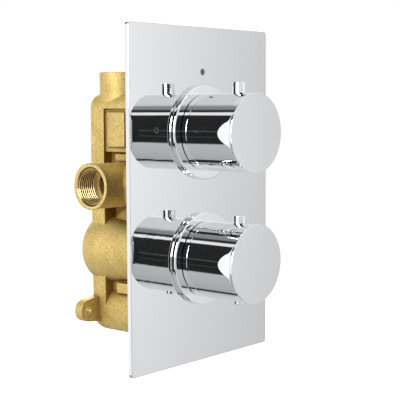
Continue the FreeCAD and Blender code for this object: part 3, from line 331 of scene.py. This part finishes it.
dress(mirrorPlate(), "face_plate")
dress(polishedHandle(), "flow_handle", "temperature_handle", "flow_collar", "temperature_collar",
      "flow_lever_pin", "temperature_lever_pin", "override_button")
dress(sandCastBrass(), "valve_body")
dress(latheTurnedBrass(), "flow_sleeve", "temperature_sleeve", "foot_plug", "service_plugs",
      "flow_gland_nut", "flow_spindle", "flow_cartridge_body", "thermo_gland_nut", "thermo_spindle",
      "thermo_drive_nut", "thermo_housing")
dress(brushedSteel("stainlessSteel", stainless), "flow_adaptor_screw", "temperature_adaptor_screw",
      "flow_grub_screw", "temperature_grub_screw", "override_clip", "thermo_hot_strainer",
      "thermo_cold_strainer", "hot_inlet_strainer", "cold_inlet_strainer")
dress(brushedSteel("hardDrawnSpringWire", springWire), "override_spring", "thermo_overload_spring",
      "thermo_return_spring", "hot_check_spring", "cold_check_spring")
dress(mottled("nitrileRubber", nitrile, "ShaderNodeTexNoise"), "flow_collar_oring",
      "temperature_collar_oring", "foot_plug_oring", "service_plug_orings", "flow_cartridge_oring",
      "flow_spindle_oring", "flow_seat_seal", "thermo_spindle_oring", "thermo_front_oring",
      "thermo_middle_oring", "thermo_rear_oring")
dress(mottled("closedCellFoam", foamSheet, "ShaderNodeTexVoronoi"), "plate_gasket")
dress(mottled("mouldedAcetal", acetal, "ShaderNodeTexNoise"), "flow_adaptor", "temperature_adaptor",
      "hot_check_housing", "cold_check_housing", "hot_check_poppet", "cold_check_poppet")
dress(mottled("glassFilledNylon", glassFilled, "ShaderNodeTexNoise"), "stop_ring", "thermo_shuttle",
      "thermo_end_cap")
dress(mottled("groundAlumina", alumina, "ShaderNodeTexNoise"), "flow_moving_disc", "flow_fixed_disc")
dress(drawnCopper(), "thermo_wax_element")
dress(mottled("etchedGreyFilling", etchedGrey, "ShaderNodeTexNoise"), "off_mark", "open_mark")
print("materials made")


# ---- springs, each copied into one welded coil in place of its own node

# body at the spring's still end, body at its moving end, the node that presses there, and the coil's axis
pressedSprings = {
    "hot_check_spring": {"still": "valve", "moving": "hot_poppet", "presser": "hot_check_poppet",
                         "axis": 0},
    "cold_check_spring": {"still": "valve", "moving": "cold_poppet", "presser": "cold_check_poppet",
                          "axis": 0},
    "override_spring": {"still": "temperature_control", "moving": "override", "presser": "override_button",
                        "axis": 2},
    "thermo_return_spring": {"still": "valve", "moving": "regulator", "presser": "thermo_shuttle", "axis": 1}}
weldGap = 0.001  # corners nearer than this are one


def squeezeSpring(name, c):
    # the same coil, welded into one skin in place of the node; where its ends lie along the axis is worked
    # out, but nothing ties them to the bodies
    coil = bpy.data.objects.new(name + "_coil", nodes[name].data.copy())
    bpy.context.collection.objects.link(coil)
    bpy.ops.object.select_all(action="DESELECT")
    coil.select_set(True)
    bpy.context.view_layer.objects.active = coil
    bpy.ops.object.mode_set(mode="EDIT")
    bpy.ops.mesh.select_all(action="SELECT")
    bpy.ops.mesh.remove_doubles(threshold=weldGap * mm)
    bpy.ops.object.mode_set(mode="OBJECT")
    low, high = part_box(name)
    pressLow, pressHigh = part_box(c["presser"])
    along = c["axis"]
    middle = (low + high) / 2
    stillEnd, movingEnd = middle.copy(), middle.copy()
    stillEnd[along], movingEnd[along] = low[along], high[along]
    if (pressLow[along] + pressHigh[along]) / 2 < middle[along]:
        stillEnd, movingEnd = movingEnd, stillEnd
    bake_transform(coil)
    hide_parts(name)


for springName, settings in pressedSprings.items():
    squeezeSpring(springName, settings)
print("springs set")


# ---- studio

camera = {"azimuth": 48.78, "elevation": 5.12, "roll": 0.28, "distance": 704.6, "target": (0.2, 0.0, -3.39),
          "focalPixels": 1042.17, "framePixels": 400, "sensor": 36.0, "near": 50, "far": 50000}


def placeCamera(c):
    data = bpy.data.cameras.new("photoCamera")
    obj = bpy.data.objects.new("photoCamera", data)
    bpy.context.collection.objects.link(obj)
    az, el = math.radians(c["azimuth"]), math.radians(c["elevation"])
    away = Vector((-math.sin(az) * math.cos(el), -math.cos(az) * math.cos(el), math.sin(el)))
    target = Vector(c["target"])
    look = (-away).to_track_quat("-Z", "Y").to_matrix().to_4x4()
    roll = Matrix.Rotation(math.radians(-c["roll"]), 4, "Z")
    obj.matrix_world = Matrix.Translation((target + away * c["distance"]) * mm) @ look @ roll
    data.sensor_width = c["sensor"]
    data.sensor_fit = "HORIZONTAL"
    data.lens = c["focalPixels"] * c["sensor"] / c["framePixels"]
    data.clip_start = c["near"] * mm
    data.clip_end = c["far"] * mm
    bpy.context.scene.camera = obj


# what polished metal sees round the Y axis: turn in degrees, from the left (-X) upwards, and tone
wallTones = ((-180, 0.66), (-118, 0.66), (-104, 0.50), (-101, 0.03), (-95, 0.03), (-92, 0.42), (-60, 0.49),
             (-35, 0.52), (-32, 0.022), (-15, 0.018), (-13, 0.06), (-11, 0.018), (1, 0.018), (4, 0.09),
             (6, 0.02), (51, 0.022), (53, 0.95), (60, 0.88), (62, 0.03), (68, 0.03),
             (71, 0.24), (82, 0.28), (88, 0.62), (94, 0.68), (180, 0.70))
# the other zones of the room, by the parts X, Y and Z of a direction of length 1
roomZones = {
    "gapY": {"From Min": -0.46, "From Max": -0.36},  # a white gap to the left, which the scoops show
    "gapZ": {"From Min": 0.40, "From Max": 0.32},  # and how high it reaches
    "rightX": {"From Min": 0.10, "From Max": 0.40},  # the right, which the plate and the discs show
    "rightZ": {"From Min": 0.45, "From Max": 0.30},  # and how high it reaches
    "rightFade": {"From Min": 0.695, "From Max": 0.80, "To Min": 0.94, "To Max": 0.64},  # its tone along X
    "rightDrop": {"From Min": -0.30, "From Max": -0.07, "To Min": 0.78, "To Max": 1.0},  # less tone below
    "aheadY": {"From Min": -0.96, "From Max": -0.98},  # straight ahead
    "frontY": {"From Min": -0.36, "From Max": -0.46},  # all the front, where nothing lies between
    "frontRise": {"From Min": -0.2, "From Max": 0.2, "To Min": 0.58, "To Max": 0.84}}  # its tone along Z
# what matt surfaces receive from all round; the key lamp brings the rest to one
fill = 0.28


def makeWorld():
    world = bpy.data.worlds.new("softStudio")
    bpy.context.scene.world = world
    world.use_nodes = True
    tree = world.node_tree
    tree.nodes.clear()
    z = roomZones
    rays = addNode(tree, "ShaderNodeLightPath")
    way = addNode(tree, "ShaderNodeTexCoord")
    part = addNode(tree, "ShaderNodeSeparateXYZ", None, {0: (way, "Generated")})
    height = addNode(tree, "ShaderNodeMath", {"operation": "ABSOLUTE"}, {0: (part, "Z")})

    left = addNode(tree, "ShaderNodeMath", {"operation": "MULTIPLY", 1: -1.0}, {0: (part, "X")})
    turn = addNode(tree, "ShaderNodeMath", {"operation": "ARCTAN2"}, {0: (part, "Z"), 1: (left, 0)})
    spread = addNode(tree, "ShaderNodeMath", {"operation": "MULTIPLY_ADD", 1: 0.5 / math.pi, 2: 0.5},
                     {0: (turn, 0)})
    bands = addNode(tree, "ShaderNodeValToRGB", None, {"Fac": (spread, 0)})
    setStops(bands, [(degrees / 360 + 0.5, (tone, tone, tone, 1)) for degrees, tone in wallTones])

    gap = addNode(tree, "ShaderNodeMapRange", z["gapY"], {"Value": (part, "Y")})
    flat = addNode(tree, "ShaderNodeMapRange", z["gapZ"], {"Value": (height, 0)})
    window = addNode(tree, "ShaderNodeMath", {"operation": "MULTIPLY"}, {0: (gap, 0), 1: (flat, 0)})
    opened = addNode(tree, "ShaderNodeMix", {"data_type": "RGBA", 7: (1.0, 1.0, 1.0, 1)},
                     {0: (window, 0), 6: (bands, 0)})

    # the bands are for the handles' sides, which show them by way of the plate;
    # a surface that shows the front straight sees it plain
    ahead = addNode(tree, "ShaderNodeMapRange", z["aheadY"], {"Value": (part, "Y")})
    first = addNode(tree, "ShaderNodeMath", {"operation": "LESS_THAN", 1: 1.5}, {0: (rays, "Glossy Depth")})
    wide = addNode(tree, "ShaderNodeMapRange", z["frontY"], {"Value": (part, "Y")})
    straight = addNode(tree, "ShaderNodeMath", {"operation": "MULTIPLY"}, {0: (first, 0), 1: (wide, 0)})
    plainly = addNode(tree, "ShaderNodeMath", {"operation": "MAXIMUM"}, {0: (ahead, 0), 1: (straight, 0)})
    rising = addNode(tree, "ShaderNodeMapRange", z["frontRise"], {"Value": (part, "Z")})
    front = addNode(tree, "ShaderNodeMix", {"data_type": "RGBA"},
                    {0: (plainly, 0), 6: (opened, 2), 7: (rising, 0)})

    fade = addNode(tree, "ShaderNodeMapRange", z["rightFade"], {"Value": (part, "X")})
    drop = addNode(tree, "ShaderNodeMapRange", z["rightDrop"], {"Value": (part, "Z")})
    rightTone = addNode(tree, "ShaderNodeMath", {"operation": "MULTIPLY"}, {0: (drop, 0), 1: (fade, 0)})
    toRight = addNode(tree, "ShaderNodeMapRange", z["rightX"], {"Value": (part, "X")})
    level = addNode(tree, "ShaderNodeMapRange", z["rightZ"], {"Value": (height, 0)})
    isRight = addNode(tree, "ShaderNodeMath", {"operation": "MULTIPLY"}, {0: (toRight, 0), 1: (level, 0)})
    mirrored = addNode(tree, "ShaderNodeMix", {"data_type": "RGBA"},
                       {0: (isRight, 0), 6: (front, 2), 7: (rightTone, 0)})

    matt = addNode(tree, "ShaderNodeMix", {"data_type": "RGBA", 6: (fill, fill, fill, 1), 7: (1, 1, 1, 1)},
                   {0: (rays, "Is Camera Ray")})
    colour = addNode(tree, "ShaderNodeMix", {"data_type": "RGBA"},
                     {0: (rays, "Is Glossy Ray"), 6: (matt, 2), 7: (mirrored, 2)})
    light = addNode(tree, "ShaderNodeBackground", {"Strength": 1.0}, {"Color": (colour, 2)})
    addNode(tree, "ShaderNodeOutputWorld", None, {"Surface": (light, 0)})


floorLevel = {"drop": 290, "reach": 3000, "tone": "#F6F6F6", "roughness": 0.9, "seenGlow": 0.74}


def makeFloor():
    c = floorLevel
    bpy.ops.object.select_all(action="DESELECT")
    bpy.ops.mesh.primitive_plane_add(size=2 * c["reach"] * mm, location=(0, 0, -c["drop"] * mm))
    floor = bpy.context.object
    floor.name = "studio_floor"
    floor.visible_glossy = False
    material, tree, shader = startMaterial("paleFloor", {
        "Base Color": toLinear(c["tone"]), "Roughness": c["roughness"], "Emission Color": (1, 1, 1, 1)})
    rays = addNode(tree, "ShaderNodeLightPath")
    glow = addNode(tree, "ShaderNodeMath", {"operation": "MULTIPLY", 1: c["seenGlow"]},
                   {0: (rays, "Is Camera Ray")})
    tree.links.new(glow.outputs[0], shader.inputs["Emission Strength"])
    floor.data.materials.append(material)


softBoxes = ({"name": "keyLamp", "place": (-1150, -80, 400), "size": 700, "power": 13.3},
             {"name": "rearLamp", "place": (850, 1000, 500), "size": 900, "power": 10.0})


def makeLamps():
    # a large soft box to the left lights the casting, and one stands behind
    for c in softBoxes:
        data = bpy.data.lights.new(c["name"], "AREA")
        data.size = c["size"] * mm
        data.energy = c["power"]
        lamp = bpy.data.objects.new(c["name"], data)
        bpy.context.collection.objects.link(lamp)
        place = Vector(c["place"]) * mm
        lamp.matrix_world = Matrix.Translation(place) @ (-place).to_track_quat("-Z", "Y").to_matrix().to_4x4()
        lamp.visible_camera = False


placeCamera(camera)
bpy.context.scene.view_settings.view_transform = "Standard"
makeWorld()
makeFloor()
makeLamps()
print("studio set")
